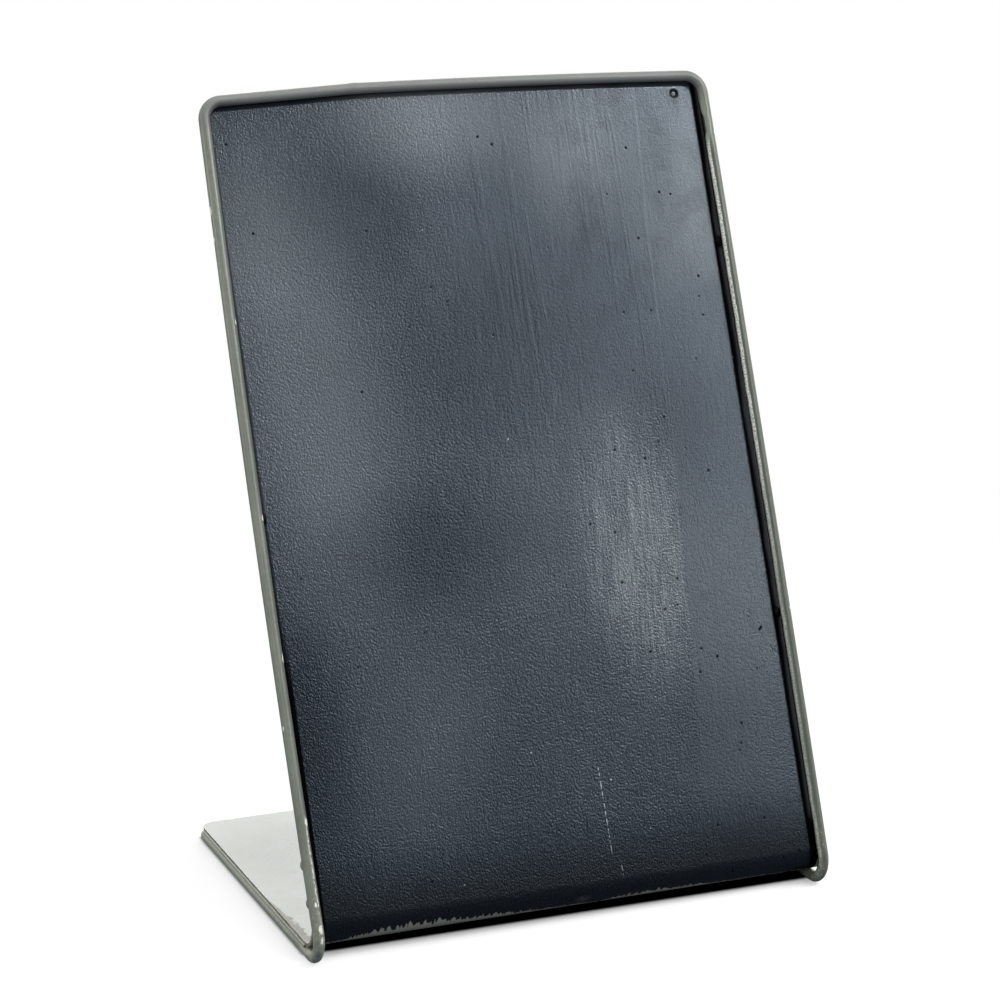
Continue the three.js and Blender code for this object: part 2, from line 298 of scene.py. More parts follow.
framePaint = {
    "colour": (0.150, 0.165, 0.130),       # grey-green enamel
    "paleColour": (0.205, 0.232, 0.192),
    "darkColour": (0.105, 0.118, 0.090),
    "bareColour": (0.66, 0.67, 0.58),      # cream primer where it is chipped
    "rubbedHighlightColour": (0.72, 0.71, 0.67),    # enamel rubbed thin beside the black lap, with a painted highlight along it
    "lapColour": (0.0012, 0.0015, 0.002),  # blackboard paint lapped onto the wire
    "stainColour": (0.150, 0.140, 0.092),
    "topColour": (0.138, 0.142, 0.136),    # the top wire is greyer
    "bendLightColour": (0.32, 0.34, 0.275),     # painted light: paler at the bends and on the foot wires, where the floor lights them
    "rimLightColour": (0.36, 0.36, 0.26),       # painted light: the fold's bare edge below the black paint, paler where the floor lights it
    "smearColour": (0.10, 0.10, 0.098),    # thin black smears beside the lap
    "wireShadeColour": (0.045, 0.052, 0.042),  # painted shade across the side wires' fronts
    "roughness": 0.34,
    "sheetRoughness": 0.15,                # the sheet's enamel is glossier
    "peelHeight": 0.035,                   # millimetres
    "gritHeight": 0.012,
    "sheetHeight": 0.2,                    # share of the enamel's height that the flat sheet shows
    "lapHeight": 0.05,
    "chipDepth": 0.06,
    "ridgeHeight": 0.03,
    "footSpecks": (9.0, 0.35, 0.12),       # spacing, radius and share of the foot's small stains
    "footSpeck": ((-61.0, 61.6), (0.9, 1.6)),  # middle and reach of the larger one
    "scuff": ((-58.0, 80.0), (20.0, 24.0)),    # the same for a duller patch on the foot
    "lapDegrees": 74.0,                    # the black lap ends here, counted from the wire's front
    "lapBulge": 216.5,                     # the lap is wider at this place on the right wire
    "leftSide": (-71.0, -60.0),            # the left wire's marks fade out between these
    "ridge": ((-14.0, 110.0), (4.0, 400.0)),  # a darker, slightly raised run along the wires: degrees, place, reach
    "frayed": ((28.0, 26.0), (11.0, 13.0)),   # the same for chipped enamel low on the left wire
    # Side, place up the slope, degrees from the front and radius in millimetres
    "chips": [
        (-1, 201.1, -84.0, 0.75),
        (-1, 193.5, -86.0, 0.6),
        (-1, 170.7, 50.0, 0.5),
        (-1, 118.2, 50.0, 0.5),
        (-1, 81.1, 62.0, 0.9),
        (-1, 62.7, -62.0, 0.4),
        (-1, 38.0, 40.0, 0.8),
        (-1, 16.4, 2.0, 0.5),
        (-1, 9.9, 15.0, 0.8),
        (-1, 7.0, 18.0, 0.6),
        (1, 77.6, -38.0, 0.35),
        (1, 214.0, -50.0, 0.4),
    ],
}


# The enamel that wire, welds and sheet share: colour, change of roughness, height in millimetres
def enamelLook(maker, place):
    cloud = maker.noise(place, 0.05, 3.0, 0.55)
    mottle = maker.noise(place, 0.9, 3.0, 0.6)
    tone = (cloud * 0.7 + mottle * 0.5).step(0.35, 0.85)
    colour = maker.mixColour(tone, framePaint["darkColour"], framePaint["paleColour"])
    colour = maker.mixColour(0.5, colour, framePaint["colour"])
    peel = maker.noise(place, 1.1, 2.0, 0.5)
    grit = maker.noise(place, 4.0, 2.0, 0.6)
    height = peel * framePaint["peelHeight"] + grit * framePaint["gritHeight"]
    return colour, (mottle - 0.5) * 0.2, height


# Height counts in millimetres
def bumpNormal(maker, height):
    return maker.node("ShaderNodeBump", None, {"Strength": 1.0, "Distance": 0.001, "Height": height})


# Distance from a place, in shares of a reach
def distanceFrom(x, y, middle, reach=(1.0, 1.0)):
    across = (x - middle[0]) / reach[0]
    up = (y - middle[1]) / reach[1]
    return (across * across + up * up) ** 0.5


# 1 inside a soft oval spot and 0 away from it
def softSpot(x, y, middle, reach, soft=0.75):
    return 1 - distanceFrom(x, y, middle, reach).step(1 - soft, 1 + soft)


# 1 on scattered small round dots; their share is the part of the cells that holds one
def scatteredDots(maker, place, spacing, radius, share):
    kept = 1 - share
    cells = maker.node("ShaderNodeTexVoronoi", {"voronoi_dimensions": "3D"}, {
        "Vector": place, "Scale": 1 / spacing,
    })
    chosen = maker.dot(cells.output("Color"), (1.0, 0.0, 0.0)).step(kept, kept + 0.02)
    return (1 - cells.step(radius / spacing * 0.6, radius / spacing * 1.3)) * chosen


def sheetMaterial():
    material, maker = newMaterial("sheet enamel")
    x, along, depth, place = maker.boardPlace()
    y = maker.dot(place, tuple(backward))
    onFoot = 1 - maker.dot(place, tuple(upright)).step(4.0, 8.0)
    fromEdge = board["halfWidth"] + board["sheetMargin"] - abs(x)
    colour, mottled, height = enamelLook(maker, place)
    pale = maker.noise(place, 0.11, 3.0, 0.6).step(0.35, 0.7)
    colour = maker.mixColour(pale * 0.5, colour, framePaint["paleColour"])

    # Painted light: the fold's bare rim, shown on its outer side only, is paler where the floor lights it
    facing = maker.node("ShaderNodeTexCoord").output("Normal")
    outerSide = maker.dot(facing, (0.0, -0.83, -0.56)).step(-0.1, 0.2)
    rim = (1 - along.step(9.0, 12.0)) * (1 - depth.step(8.0, 12.0)) * outerSide
    colour = maker.mixColour(rim, colour, framePaint["rimLightColour"])

    # Chips along the cut edge and a stain beside it, both near the fold
    cutEdge = (1 - fromEdge.step(0.05, 0.20)) * (1 - along.step(55.0, 80.0)) * along.step(13.0, 15.0)
    chips = maker.noise(place, 0.5, 3.0, 0.6).step(0.38, 0.5) * (1 - depth.step(4.0, 6.0))
    colour = maker.mixColour(cutEdge * chips, colour, framePaint["bareColour"])
    nearBend = 1 - y.step(12.0, 50.0)
    ragged = maker.noise(place, 0.45, 3.0, 0.65) * (0.8 + nearBend * 6.0)
    stained = (ragged - fromEdge).step(0.05, 0.65) * (1 - along.step(30.0, 60.0)) * depth.step(2.8, 3.5)
    colour = maker.mixColour(stained * 0.85, colour, framePaint["stainColour"])

    specks = scatteredDots(maker, place, *framePaint["footSpecks"])
    specks = specks.most(softSpot(x, y, *framePaint["footSpeck"], 0.3))
    colour = maker.mixColour(specks * onFoot * 0.8, colour, framePaint["stainColour"])
    scuffed = softSpot(x, y, *framePaint["scuff"]) * onFoot
    colour = maker.mixColour(scuffed * 0.5, colour, framePaint["darkColour"])
    roughness = framePaint["sheetRoughness"] + mottled + stained * 0.3 + scuffed * 0.10
    finishMaterial(maker, {
        "Base Color": colour, "Roughness": roughness,
        "Normal": bumpNormal(maker, height * framePaint["sheetHeight"]),
    })
    return material


# Degrees round the wire's section from its front, inwards counted up
def turnedRound(maker):
    centre = maker.attribute("wireCentre").output("Vector")
    outward = maker.node("ShaderNodeVectorMath", {"operation": "NORMALIZE"}, {
        0: maker.vector("SUBTRACT", maker.node("ShaderNodeTexCoord").output("Object"), centre),
    })
    inner = maker.dot(outward, maker.attribute("inward").output("Vector"))
    front = maker.dot(outward, tuple(-behind))
    return inner.math("ARCTAN2", inner, front) * math.degrees(1)


# 1 where the wire's enamel is chipped: scattered flecks, the chosen chips, and the frayed part at the left
def wireChips(maker, place, x, along, turned, run, ripple):
    flecks = (1 - along.step(8.0, 26.0)) * maker.noise(place, 1.6, 3.0, 0.6).step(0.64, 0.70)
    chipped = maker.noise(place, 0.55, 4.0, 0.7).step(0.73, 0.75).most(flecks * 0.6)
    wobble = maker.noise(place, 1.3, 2.0, 0.6) - 0.5
    for side, up, degrees, radius in framePaint["chips"]:
        onSide = x.step(0.0, 1.0) if side > 0 else 1 - x.step(-1.0, 0.0)
        reach = (math.degrees(radius / board["wireRadius"]) * 0.7, radius * 1.4)
        spot = softSpot(turned + wobble * 30, along + wobble * 1.4, (degrees, up), reach, 0.2)
        chipped = chipped.most(spot * onSide)
    flaked = maker.noise(maker.combine(run * 0.8, turned * 0.04, 3.0), 1.0, 3.0, 0.65).step(0.42, 0.52)
    onLeft = 1 - x.step(*framePaint["leftSide"])
    frayed = softSpot(turned + ripple * 24, along, *framePaint["frayed"], 0.3) * onLeft
    return chipped.most(frayed * flaked * 0.85)


# The wire's enamel, with the lap of black paint, the rubbed band with its painted highlight beside it,
# painted shade and light, and the chips
def wireMaterial():
    material, maker = newMaterial("wire enamel")
    x, along, depth, place = maker.boardPlace()
    colour, mottled, height = enamelLook(maker, place)
    turned = turnedRound(maker)
    run = maker.attribute("alongWire").output("Fac")
    line = maker.combine(run, 0.0, 0.0)
    wander = maker.noise(line, 0.045, 2.0, 0.5) - 0.5
    ripple = maker.noise(line, 0.30, 3.0, 0.6) - 0.5
    onRight = x.step(60.0, 71.0)
    onLeft = 1 - x.step(*framePaint["leftSide"])
    onTop = along.step(222.0, 225.0)
    onPanel = (along + onRight * 8).step(12.0, 16.0) * (1 - depth.step(2.5, 3.5))

    # The lap of black paint from the inner side, with an uneven end
    bulge = 1 - abs(along - framePaint["lapBulge"]).step(1.5, 4.5)
    lapEnd = framePaint["lapDegrees"] + onTop * 12 + onRight * (10 - bulge * 30)
    lapEnd = lapEnd + wander * (12 + onRight * 24) + ripple * (10 + onRight * 12)
    pastLap = turned - lapEnd
    lap = (pastLap + onRight * 3).step(-3.0, 4.0) * onPanel

    # Smears and the rubbed band with its painted highlight beside the lap on the right wire, then painted
    # shade across both side wires
    broken = maker.noise(maker.combine(run * 1.1, turned * 0.03, 0.0), 1.0, 3.0, 0.7)
    dotted = maker.noise(maker.combine(run * 2.4, turned * 0.05, 7.0), 1.0, 2.0, 0.6).step(0.36, 0.56)
    shown = onRight * onPanel * (1 - onTop) * (1 - along.step(208.0, 214.0))
    smeared = shown * (pastLap + (broken - 0.5) * 20).step(-20.0, -6.0)
    higher = along.step(85.0, 140.0)
    # Painted highlight: pale dotted band on rubbed enamel beside the lap
    rubbedHighlightBand = (pastLap + (broken - 0.5) * 12 + higher * 9).step(-46.0, -36.0)
    rubbedHighlightBand = rubbedHighlightBand * (1 - pastLap.step(-22.0, -6.0)) * shown * dotted * (0.45 + 0.55 * higher)
    # Painted shade across the fronts of the side wires
    wireShade = shown * turned.step(-22.0, -6.0) * (1 - pastLap.step(-56.0, -44.0)) * 0.75
    wireShade = wireShade.most(onLeft * onPanel * turned.step(2.0, 40.0) * 0.55)
    ridge = softSpot(turned, along, *framePaint["ridge"]) * maker.noise(line, 0.1, 2.0, 0.5).step(0.3, 0.6)
    # Painted shade on the right wire's outer side, in the darker enamel tone
    shaded = onRight * (1 - pastLap.step(-72.0, -58.0))
    # Painted light at the bends and on the foot wires
    nearGround = (1 - along.step(2.0, 14.0)).most(depth.step(12.0, 24.0) * 0.7)
    stained = (1 - along.step(8.0, 26.0)) * maker.noise(place, 0.7, 3.0, 0.65).step(0.42, 0.62)

    colour = maker.mixColour(onTop * 0.85, colour, framePaint["topColour"])
    colour = maker.mixColour(nearGround * 0.7, colour, framePaint["bendLightColour"])
    colour = maker.mixColour(ridge * onPanel * 0.45, colour, framePaint["darkColour"])
    colour = maker.mixColour(shaded * 0.7, colour, framePaint["darkColour"])
    colour = maker.mixColour(wireShade, colour, framePaint["wireShadeColour"])
    colour = maker.mixColour(smeared * 0.6, colour, framePaint["smearColour"])
    colour = maker.mixColour(rubbedHighlightBand, colour, framePaint["rubbedHighlightColour"])
    colour = maker.mixColour(stained * 0.7, colour, framePaint["stainColour"])
    chipped = wireChips(maker, place, x, along, turned, run, ripple)
    lap = lap * (1 - chipped)
    colour = maker.mixColour(lap, colour, framePaint["lapColour"])
    colour = maker.mixColour(chipped, colour, framePaint["bareColour"])
    roughness = framePaint["roughness"] + mottled + onTop * 0.12
    roughness = roughness - lap * 0.10 - rubbedHighlightBand * 0.12 - chipped * 0.1
    height = height + lap * framePaint["lapHeight"] + ridge * framePaint["ridgeHeight"]
    height = height - chipped * framePaint["chipDepth"]
    finishMaterial(maker, {
        "Base Color": colour, "Roughness": roughness, "Normal": bumpNormal(maker, height),
    }, lap * (0.15 + broken * 0.5))
    return material


blackPaint = {
    "colour": (0.006, 0.010, 0.016),
    "dustAndSheenColour": (0.120, 0.130, 0.132),   # chalk dust rubbed into the paint, and painted sheen in the brighter patches
    "brushColour": (0.026, 0.034, 0.043),
    "foldCreaseShadeColour": (0.0010, 0.0026, 0.0060),  # painted shade at the fold and in the creases
    "filletSheenColour": (0.10, 0.10, 0.105),   # painted sheen where the paint fills the crease at the right wire
    # pale dust specks and scratches, and the painted glints of the worn patch
    "speckAndGlintColour": (0.40, 0.42, 0.41),
    "specularTint": (0.73, 0.85, 0.98, 1.0),
    "roughness": 0.24,
    "smoothSide": 0.60,                    # the right side shows less of the orange peel
    "peelHeight": 0.110,                   # millimetres
    "pebbleHeight": 0.100,
    "streakHeight": 0.022,
    "strokeHeight": 0.020,
    "gritHeight": 0.012,
    "pitDepth": 0.03,
    "speckHeight": 0.03,
    "overlapStep": 0.02,
    "pits": (4.0, 0.48),                   # spacing and radius
    "specks": (8.0, 0.22, 0.30),           # spacing, radius and share
    "lowEnd": (8.0, 32.0),                 # the painted shade at the fold fades out between these places
    "rightCrease": (2.5, 3.1),             # the painted shade in the crease ends between these distances from the wire's middle
    "leftCrease": (2.7, 3.1),
    "leftCreaseTop": (70.0, 100.0),        # and the left one fades out here, up the slope
    "fillet": (0.9, 2.3),                  # the same distances for the painted sheen beside the right wire
    # Middle, reach and amount of the brighter patches: chalk dust and painted reflection
    "dustAndSheenPatches": [
        ((-70.0, 200.0), (13.0, 24.0), 0.22),
        ((32.0, 204.0), (13.0, 14.0), 0.34),
        ((-54.0, 158.0), (19.0, 56.0), 0.40),
        ((-16.0, 224.0), (20.0, 15.0), 0.42),
        ((26.0, 224.0), (48.0, 16.0), 0.34),
        ((72.0, 196.0), (10.0, 22.0), 0.50),
        ((56.0, 190.0), (10.0, 18.0), 0.30),
        ((20.0, 106.0), (26.0, 24.0), 0.14),
        ((54.0, 82.0), (24.0, 22.0), 0.26),
        ((-38.0, 62.0), (20.0, 24.0), 0.16),
    ],
    # The same for patches with less shine
    "dullPatches": [
        ((-33.0, 200.0), (17.0, 22.0), 0.30),
        ((-6.0, 160.0), (34.0, 24.0), 0.19),
        ((-26.0, 106.0), (26.0, 15.0), 0.24),
        ((54.0, 136.0), (14.0, 14.0), 0.12),
        ((-72.0, 54.0), (13.0, 32.0), 0.40),
    ],
    "holeRing": 1.1,                       # a dark matt ring round the filled hole
    "wornSheen": ((33.0, 99.0), (13.0, 29.0)),  # middle and reach of the worn patch, brightened with painted sheen
    "overlap": (44.6, 72.0, 0.0537),       # a brush stroke's edge passes this point and leans by this much
    "smear": ((2.5, 7.0), (1.8, 0.6)),
    # Across at the top end, across at the bottom end, top, bottom, half width
    "scratches": [
        (11.5, 11.9, 41.0, 17.9, 0.11),
        (14.1, 14.4, 15.4, 11.8, 0.10),
    ],
}


# The worn patch of painted sheen ends in a sharp line on its right, where the next brush stroke laps over it
def wornSheenPatch(maker, x, along):
    across, up, leaning = blackPaint["overlap"]
    pastLine = x - (along - up) * leaning - across
    wobble = (maker.noise(maker.combine(0.0, along * 0.3, 0.0), 1.0, 3.0, 0.6) - 0.5) * 0.8
    spot = softSpot(x, along, *blackPaint["wornSheen"])
    return spot * (1 - (pastLine + wobble).step(-0.4, 0.3)), pastLine


def scratchLines(maker, x, along):
    gaps = maker.noise(maker.combine(x * 0.5, along * 0.7, 0.0), 1.0, 3.0, 0.7).step(0.46, 0.56)
    lines = 0.0
    for top, bottom, high, low, half in blackPaint["scratches"]:
        away = abs(x - top - (high - along) * ((bottom - top) / (high - low)))
        within = along.step(low - 0.5, low) * (1 - along.step(high, high + 0.5))
        lines = (1 - away.step(half * 0.5, half * 1.5)) * within + lines
    return lines * gaps


def softPatches(x, along, patches):
    total = 0.0
    for middle, reach, amount in patches:
        total = softSpot(x, along, middle, reach) * amount + total
    return total


# Long raised brush strokes on the upper right part
def raisedStrokes(maker, x, along):
    strokes = maker.noise(maker.combine(x * 0.34, along * 0.016, 2.0), 1.0, 2.0, 0.55, 0.3)
    strokes = (1 - abs(strokes - 0.5) * 9).most(0.0) * x.step(-25.0, 12.0) * along.step(70.0, 130.0)
    return strokes * maker.noise(maker.combine(x * 0.2, along * 0.01, 8.0), 1.0, 1.0, 0.5).step(0.46, 0.58)


# Streaks of the worn patch's painted sheen, broad and thin ones together
def sheenStreakLines(maker, x, along):
    broad = maker.noise(maker.combine(x - along * 0.05, along * 0.05, 3.0), 1.0, 3.0, 0.6)
    thin = maker.noise(maker.combine(x * 2.6 - along * 0.12, along * 0.15, 3.0), 1.0, 2.0, 0.6)
    return (thin * 0.45 + broad * 0.55).step(0.42, 0.64)


# Colour in layers: paint, brush streaks, pits, painted shade in the creases and at the fold, chalk dust with
# painted sheen and glints, painted sheen at the right crease, specks and scratches.
# Height: orange peel, streaks, strokes, grit and pits.
def blackboardMaterial():
    material, maker = newMaterial("blackboard paint")
    x, along = maker.boardPlace()[:2]
    flat = maker.combine(x, along, 0.0)
    streaks = maker.noise(maker.combine(x * 1.9, along * 0.10, 0.0), 1.0, 4.0, 0.6)
    fineStreaks = maker.noise(maker.combine(x * 3.0, along * 0.20, 5.0), 1.0, 3.0, 0.6)
    strokes = raisedStrokes(maker, x, along)
    peel = maker.noise(maker.combine(x, along * 0.8, 0.0), 2.5, 2.0, 0.5, 0.2)
    grit = maker.noise(flat, 5.0, 1.0, 0.5)
    grainy = peel * 0.5 + grit * 0.5
    pebbles = 1 - maker.node("ShaderNodeTexVoronoi", {"feature": "SMOOTH_F1"}, {
        "Vector": maker.combine(x, along * 0.9, 0.0), "Scale": 2.0, "Smoothness": 0.3,
    })
    haze = maker.noise(flat, 0.020, 1.0, 0.4)
    wornSheen, pastLine = wornSheenPatch(maker, x, along)
    sheenStreaks = sheenStreakLines(maker, x, along)
    lowEnd = 1 - along.step(*blackPaint["lowEnd"])
    fromRight = board["halfWidth"] - x
    fromLeft = board["halfWidth"] + x
    creased = (1 - fromLeft.step(*blackPaint["leftCrease"])) * (1 - along.step(*blackPaint["leftCreaseTop"]))
    creased = creased.most(1 - fromRight.step(*blackPaint["rightCrease"]))
    filletEnd = fromRight - (maker.noise(maker.combine(0.0, along * 0.035, 4.0), 1.0, 2.0, 0.6) - 0.5) * 1.6
    fillet = (1 - filletEnd.step(*blackPaint["fillet"])) * along.step(16.0, 22.0)
    ring = distanceFrom(x, along, (board["holeX"], board["holeAlong"])) - blackPaint["holeRing"]
    ring = 1 - abs(ring).step(0.25, 0.60)
    pitShare = 0.10 + x.step(5.0, 45.0) * (0.50 - along.step(120.0, 190.0) * 0.38)
    pits = scatteredDots(maker, flat, *blackPaint["pits"], pitShare)
    specks = scatteredDots(maker, maker.vector("ADD", flat, (31.0, 17.0, 9.0)), *blackPaint["specks"])

    # Painted glints on the grain's peaks, in the fold's dark band and in the worn patch
    glints = grainy.step(0.50, 0.62)
    brightGlints = wornSheen * sheenStreaks * grainy.step(0.55, 0.61)
    # Chalk dust and painted sheen: brighter patches, the worn patch, and painted glints on the grain
    dustAndSheen = softPatches(x, along, blackPaint["dustAndSheenPatches"]) * (0.7 + haze * 0.6)
    dustAndSheen = dustAndSheen + wornSheen * (0.14 + sheenStreaks * 0.62 + glints * 0.52) + lowEnd * glints * 0.24
    dustAndSheen = dustAndSheen + softSpot(x, along, *blackPaint["smear"]) * peel.step(0.4, 0.6) * 1.2
    tone = (haze * 0.5 + streaks * 0.5).step(0.3, 0.8)
    colour = maker.mixColour(tone, blackPaint["colour"], blackPaint["brushColour"])
    colour = maker.mixColour(pits, colour, blackPaint["colour"])
    # Painted shade: darker at the fold and in the creases beside the wires
    colour = maker.mixColour(lowEnd.most(creased), colour, blackPaint["foldCreaseShadeColour"])
    colour = maker.mixColour(dustAndSheen.least(1.0) * (1 - creased), colour, blackPaint["dustAndSheenColour"])
    # Painted sheen on the paint filling the crease at the right wire
    colour = maker.mixColour(fillet, colour, blackPaint["filletSheenColour"])
    colour = maker.mixColour((specks * 0.7).most(brightGlints * 0.55), colour, blackPaint["speckAndGlintColour"])
    scratched = (scratchLines(maker, x, along) * 0.9).least(1.0)
    colour = maker.mixColour(scratched, colour, blackPaint["speckAndGlintColour"])

    smoothTop = along.step(80.0, 190.0) * (0.25 + 0.50 * x.step(-35.0, 10.0))
    smoothTop = smoothTop.most(along.step(150.0, 205.0) * 0.5)
    upper = along.step(30.0, 80.0)
    smoothRight = pastLine.step(-0.5, 1.5) * upper + pastLine.step(-12.0, 6.0) * (1 - upper)
    smoothRight = smoothRight * blackPaint["smoothSide"]
    grain = 1 - smoothTop.most(smoothRight) + wornSheen * 0.4
    height = peel * blackPaint["peelHeight"] + pebbles * blackPaint["pebbleHeight"]
    height = (height + grit * blackPaint["gritHeight"]) * grain
    height = height + (streaks + wornSheen * fineStreaks * 2) * blackPaint["streakHeight"]
    height = height + strokes * (1 - smoothRight * 1.3) * blackPaint["strokeHeight"]
    height = height - pits * blackPaint["pitDepth"] + specks * blackPaint["speckHeight"]
    height = height - pastLine.step(-0.3, 0.3) * blackPaint["overlapStep"]
    roughness = blackPaint["roughness"] + (streaks - 0.5) * 0.10 + (haze - 0.5) * 0.05
    roughness = roughness + pits * 0.3 + lowEnd * 0.10
    cloudy = maker.noise(flat, 0.075, 3.0, 0.6).step(0.45, 0.70)
    cloudy = cloudy * along.step(150.0, 190.0) * x.step(5.0, 35.0)
    dull = softPatches(x, along, blackPaint["dullPatches"]) + cloudy * 0.22 + lowEnd * 0.5
    # The matt black share also holds painted shade at the fold and in the creases
    finishMaterial(maker, {
        "Base Color": colour, "Roughness": roughness, "Normal": bumpNormal(maker, height),
        "Specular Tint": blackPaint["specularTint"],
    }, (creased * (1 - fillet)).most(pits * 0.92).most(ring * 0.85).most(dull))
    return material


# Weld beads: enamel, but black where the blackboard paint was brushed over them
def weldMaterial():
    material, maker = newMaterial("weld enamel")
    x, along, depth, place = maker.boardPlace()
    colour, mottled, height = enamelLook(maker, place)
    painted = (1 - abs(x).step(73.0, 73.6)) * (1 - depth.step(1.8, 2.0)) * along.step(40.0, 50.0)
    colour = maker.mixColour(painted, colour, framePaint["lapColour"])
    finishMaterial(maker, {
        "Base Color": colour, "Roughness": framePaint["roughness"] + mottled,
        "Normal": bumpNormal(maker, height),
    }, painted * 0.9)
    return material


wireEnamel = wireMaterial()
weldEnamel = weldMaterial()
sheetEnamel = sheetMaterial()
blackboardPaint = blackboardMaterial()
print("materials made")

# The wire: rings follow the bent loop, and a Geometry Nodes tree sweeps the round section
wire = {
    "straightStep": 0.9,         # millimetres between rings
    "cornerStep": 0.45,
    "sides": 28,
    "clearance": 0.004,          # keeps the swept wire just inside its CAD size
    "waviness": 0.03,            # hand-brushed unevenness, inwards only
    "dentScale": 160.0,          # dents per metre, about
    "dentLevel": 0.8,            # the noise above this level leaves the wire round
    "weldSwell": 0.06,           # share of the radius
    "weldReach": 1.1,
    "seed": 4,
    "filletSwell": 0.29,         # enamel fills the crease between foot wire and sheet edge
    "filletOut": 0.80,
    "filletUp": 1.62,
    "filletStart": 3.0,          # behind the bend
    "filletStep": 1.5,
}


# One half of the loop from the weld over a corner, down, round the bend and to the rear wire's middle
def halfLoop(side, bow):
    half, high = board["halfWidth"], board["panelLength"] - board["topCornerRadius"]
    corner = half - board["topCornerRadius"]
    rearCorner = half - board["rearCornerRadius"]
    centreHeight = board["wireRadius"] + board["wireBendRadius"]
    parts = []

    def add(length, step, placeAt, inwardAt):
        share = np.linspace(0, 1, max(2, math.ceil(length / step)), endpoint=False)
        points = placeAt(share)
        inward = np.broadcast_to(inwardAt(share), points.shape)
        parts.append(np.concatenate((points, inward), axis=1))

    def turned(first, second, share):
        angle = share * math.pi / 2
        return np.cos(angle)[:, None] * first + np.sin(angle)[:, None] * second

    def topWire(share):
        x = board["weldX"] + (side * corner - board["weldX"]) * share
        return panelPoints(x, board["panelLength"] + topRiseAt(x))

    def topCorner(share):
        away = board["topCornerRadius"] * turned(slope, side * across, share)
        return panelPoints(side * corner, high) + away

    def sideWire(share):
        along = high + (bendStart - high) * share
        return panelPoints(side * (half + bowAt(along, bow)), along)

    def frontBend(share):
        angle = math.pi - lean + share * bendAngle
        y = bendStart + board["wireBendRadius"] * np.cos(angle)
        z = centreHeight + board["wireBendRadius"] * np.sin(angle)
        return np.stack((np.full_like(y, side * half), y, z), axis=1)

    def footWire(share):
        y = bendStart + (board["footDepth"] - board["rearCornerRadius"] - bendStart) * share
        return np.stack((np.full_like(y, side * half), y, np.full_like(y, board["wireRadius"])), axis=1)

    def rearTurn(share):
        y = board["footDepth"] - board["rearCornerRadius"]
        middle = np.array((side * rearCorner, y, board["wireRadius"]))
        return middle + board["rearCornerRadius"] * turned(side * across, backward, share)

    def rearWire(share):
        x = side * rearCorner * (1 - share)
        y, z = np.full_like(x, board["footDepth"]), np.full_like(x, board["wireRadius"])
        return np.stack((x, y, z), axis=1)

    straight, curved = wire["straightStep"], wire["cornerStep"]
    topLength = board["topCornerRadius"] * math.pi / 2
    rearLength = board["rearCornerRadius"] * math.pi / 2
    add(abs(side * corner - board["weldX"]), straight / 2, topWire, lambda t: -slope)
    add(topLength, curved, topCorner, lambda t: -turned(slope, side * across, t))
    add(high - bendStart, straight, sideWire, lambda t: -side * across)
    add(board["wireBendRadius"] * bendAngle, curved, frontBend, lambda t: -side * across)
    add(board["footDepth"], straight, footWire, lambda t: -side * across)
    add(rearLength, curved, rearTurn, lambda t: -turned(side * across, backward, t))
    add(rearCorner, straight, rearWire, lambda t: -backward)
    return np.concatenate(parts)


def addWirePath():
    right = halfLoop(1, board["rightBow"])
    left = halfLoop(-1, board["leftBow"])
    middle = right[-1:].copy()
    middle[0, :3] = (0.0, board["footDepth"], board["wireRadius"])
    loop = np.concatenate((right, middle, left[:0:-1]))
    points, inward = loop[:, :3], loop[:, 3:]
    count = len(points)
    edges = [(i, (i + 1) % count) for i in range(count)]
    travelled = np.concatenate(([0.0], np.cumsum(np.linalg.norm(np.diff(points, axis=0), axis=1))))
    fromWeld = np.minimum(travelled, travelled[-1] - travelled)
    swell = 1 + wire["weldSwell"] * np.exp(-(fromWeld / wire["weldReach"]) ** 2)
    rearEnd = board["footDepth"] - board["rearCornerRadius"]
    reach = np.arange(bendStart + wire["filletStart"], rearEnd, wire["filletStep"])
    for side in (1, -1):
        fillet = np.stack((
            np.full_like(reach, side * (board["halfWidth"] + wire["filletOut"])),
            reach,
            np.full_like(reach, board["wireRadius"] + wire["filletUp"]),
        ), axis=1)
        edges += [(len(points) + i, len(points) + i + 1) for i in range(len(reach) - 1)]
        points = np.concatenate((points, fillet))
        inward = np.concatenate((inward, np.broadcast_to(-side * across, fillet.shape)))
        travelled = np.concatenate((travelled, reach))
        swell = np.concatenate((swell, np.full_like(reach, wire["filletSwell"])))
    path = addMesh("wireFrame", points, edges=edges)
    addAttribute(path, "inward", inward)
    addAttribute(path, "alongWire", travelled)
    addAttribute(path, "swell", swell)
    return path


def newTree(name, inputs):
    tree = bpy.data.node_groups.new(name, "GeometryNodeTree")
    tree.interface.new_socket("Geometry", in_out="INPUT", socket_type="NodeSocketGeometry")
    for inputName, kind in inputs.items():
        tree.interface.new_socket(inputName, in_out="INPUT", socket_type="NodeSocket" + kind)
    tree.interface.new_socket("Geometry", in_out="OUTPUT", socket_type="NodeSocketGeometry")
    return tree, Maker(tree)


def setInputs(modifier, values):
    sockets = {item.name: item.identifier for item in modifier.node_group.interface.items_tree
               if item.in_out == "INPUT"}
    for name, value in values.items():
        modifier[sockets[name]] = value


# Pushes a surface along its normals and shades it smooth
def pushedSurface(maker, geometry, amount):
    offset = maker.node("ShaderNodeVectorMath", {"operation": "SCALE"}, {
        0: maker.node("GeometryNodeInputNormal"), "Scale": amount,
    })
    pushed = maker.node("GeometryNodeSetPosition", None, {"Geometry": geometry, "Offset": offset})
    return maker.node("GeometryNodeSetShadeSmooth", None, {"Geometry": pushed})


# Both trees end with real geometry in its material
def finishTree(maker, geometry, material):
    real = maker.node("GeometryNodeRealizeInstances", None, {"Geometry": geometry})
    painted = maker.node("GeometryNodeSetMaterial", None, {"Geometry": real, "Material": material})
    maker.node("NodeGroupOutput", None, {"Geometry": painted})


